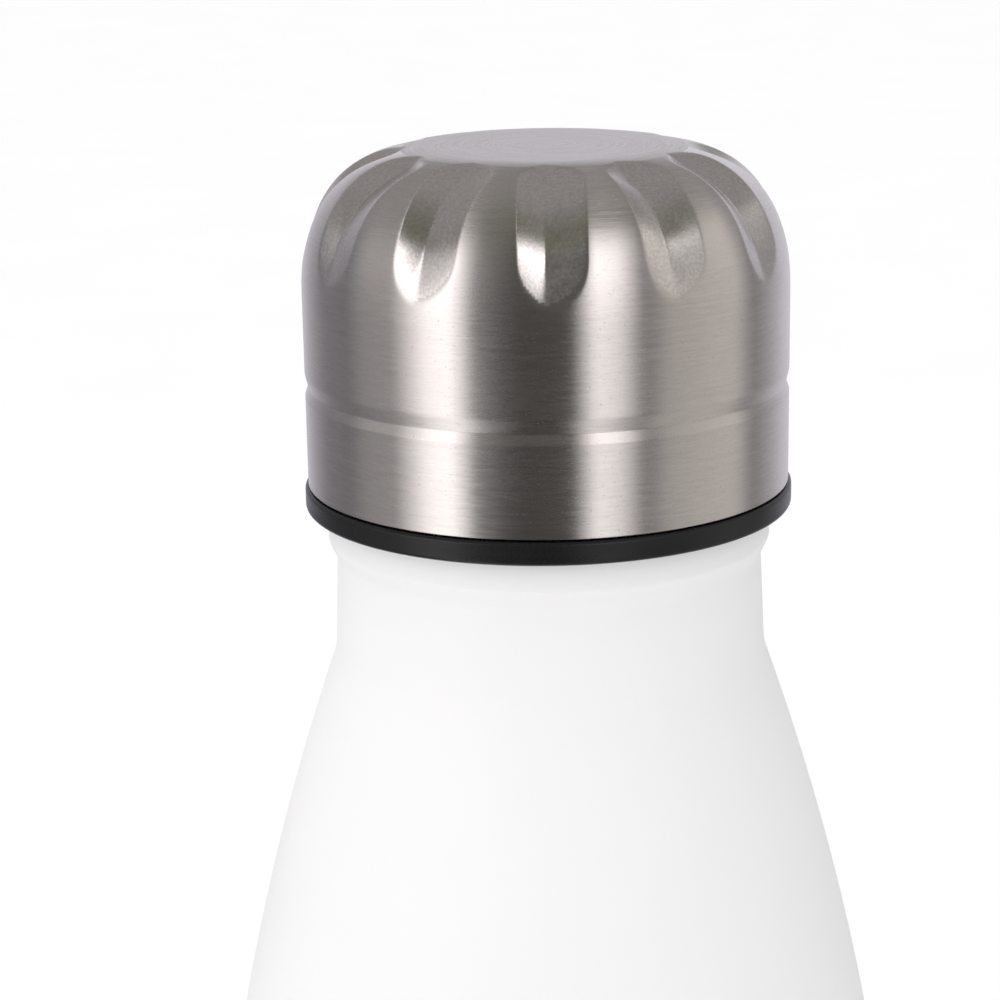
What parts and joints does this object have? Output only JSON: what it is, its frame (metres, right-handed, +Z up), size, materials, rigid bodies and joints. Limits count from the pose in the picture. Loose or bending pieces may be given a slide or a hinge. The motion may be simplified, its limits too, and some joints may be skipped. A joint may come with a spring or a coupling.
{
  "type": "insulated water bottle",
  "caption": "Slim double-wall vacuum bottle with a long sloping shoulder, white satin coat, and a fluted brushed-steel screw cap on a black ring and threaded stopper.",
  "frame": {"origin": "centre of the foot ring, on the surface that the bottle stands on", "axes": "+Z up along the bottle's axis, towards the cap; -Y is the side that is seen in front"},
  "size_m": [0.071, 0.071, 0.26],
  "materials": {
    "white_coat": "satin",
    "base_steel": "satin",
    "liner_steel": "satin",
    "cap_steel": "satin",
    "copper": "satin",
    "getter_metal": "matte",
    "solder_glass": "gloss",
    "silicone": "matte",
    "black_plastic": "satin",
    "foam": "matte"
  },
  "bodies": {
    "bottle": {"outer_shell": "white_coat", "outer_base": "white_coat", "base_disc": "base_steel", "seal_bead": "solder_glass", "inner_liner": "liner_steel", "inner_base": "liner_steel", "copper_foil": "copper", "getter": "getter_metal", "getter_clip": "liner_steel"},
    "seal": {"gasket": "silicone"},
    "cap": {"cap_shell": "cap_steel", "cap_sleeve": "black_plastic", "stopper": "black_plastic", "stopper_plug": "black_plastic", "foam_core": "foam"}
  },
  "joints": [
    {"name": "cap_lift", "type": "slide", "parent": "bottle", "child": "seal", "axis": [0, 0, 1], "range_m": [0, 0.025]},
    {"name": "cap_turn", "type": "hinge", "parent": "seal", "child": "cap", "pos_m": [0, 0, 0.2265], "axis": [0, 0, 1], "range_deg": [0, 2250]}
  ],
  "couplings": [
    {"joint": "cap_lift", "follows": "cap_turn", "m_per_rad": 0.00063662}
  ]
}
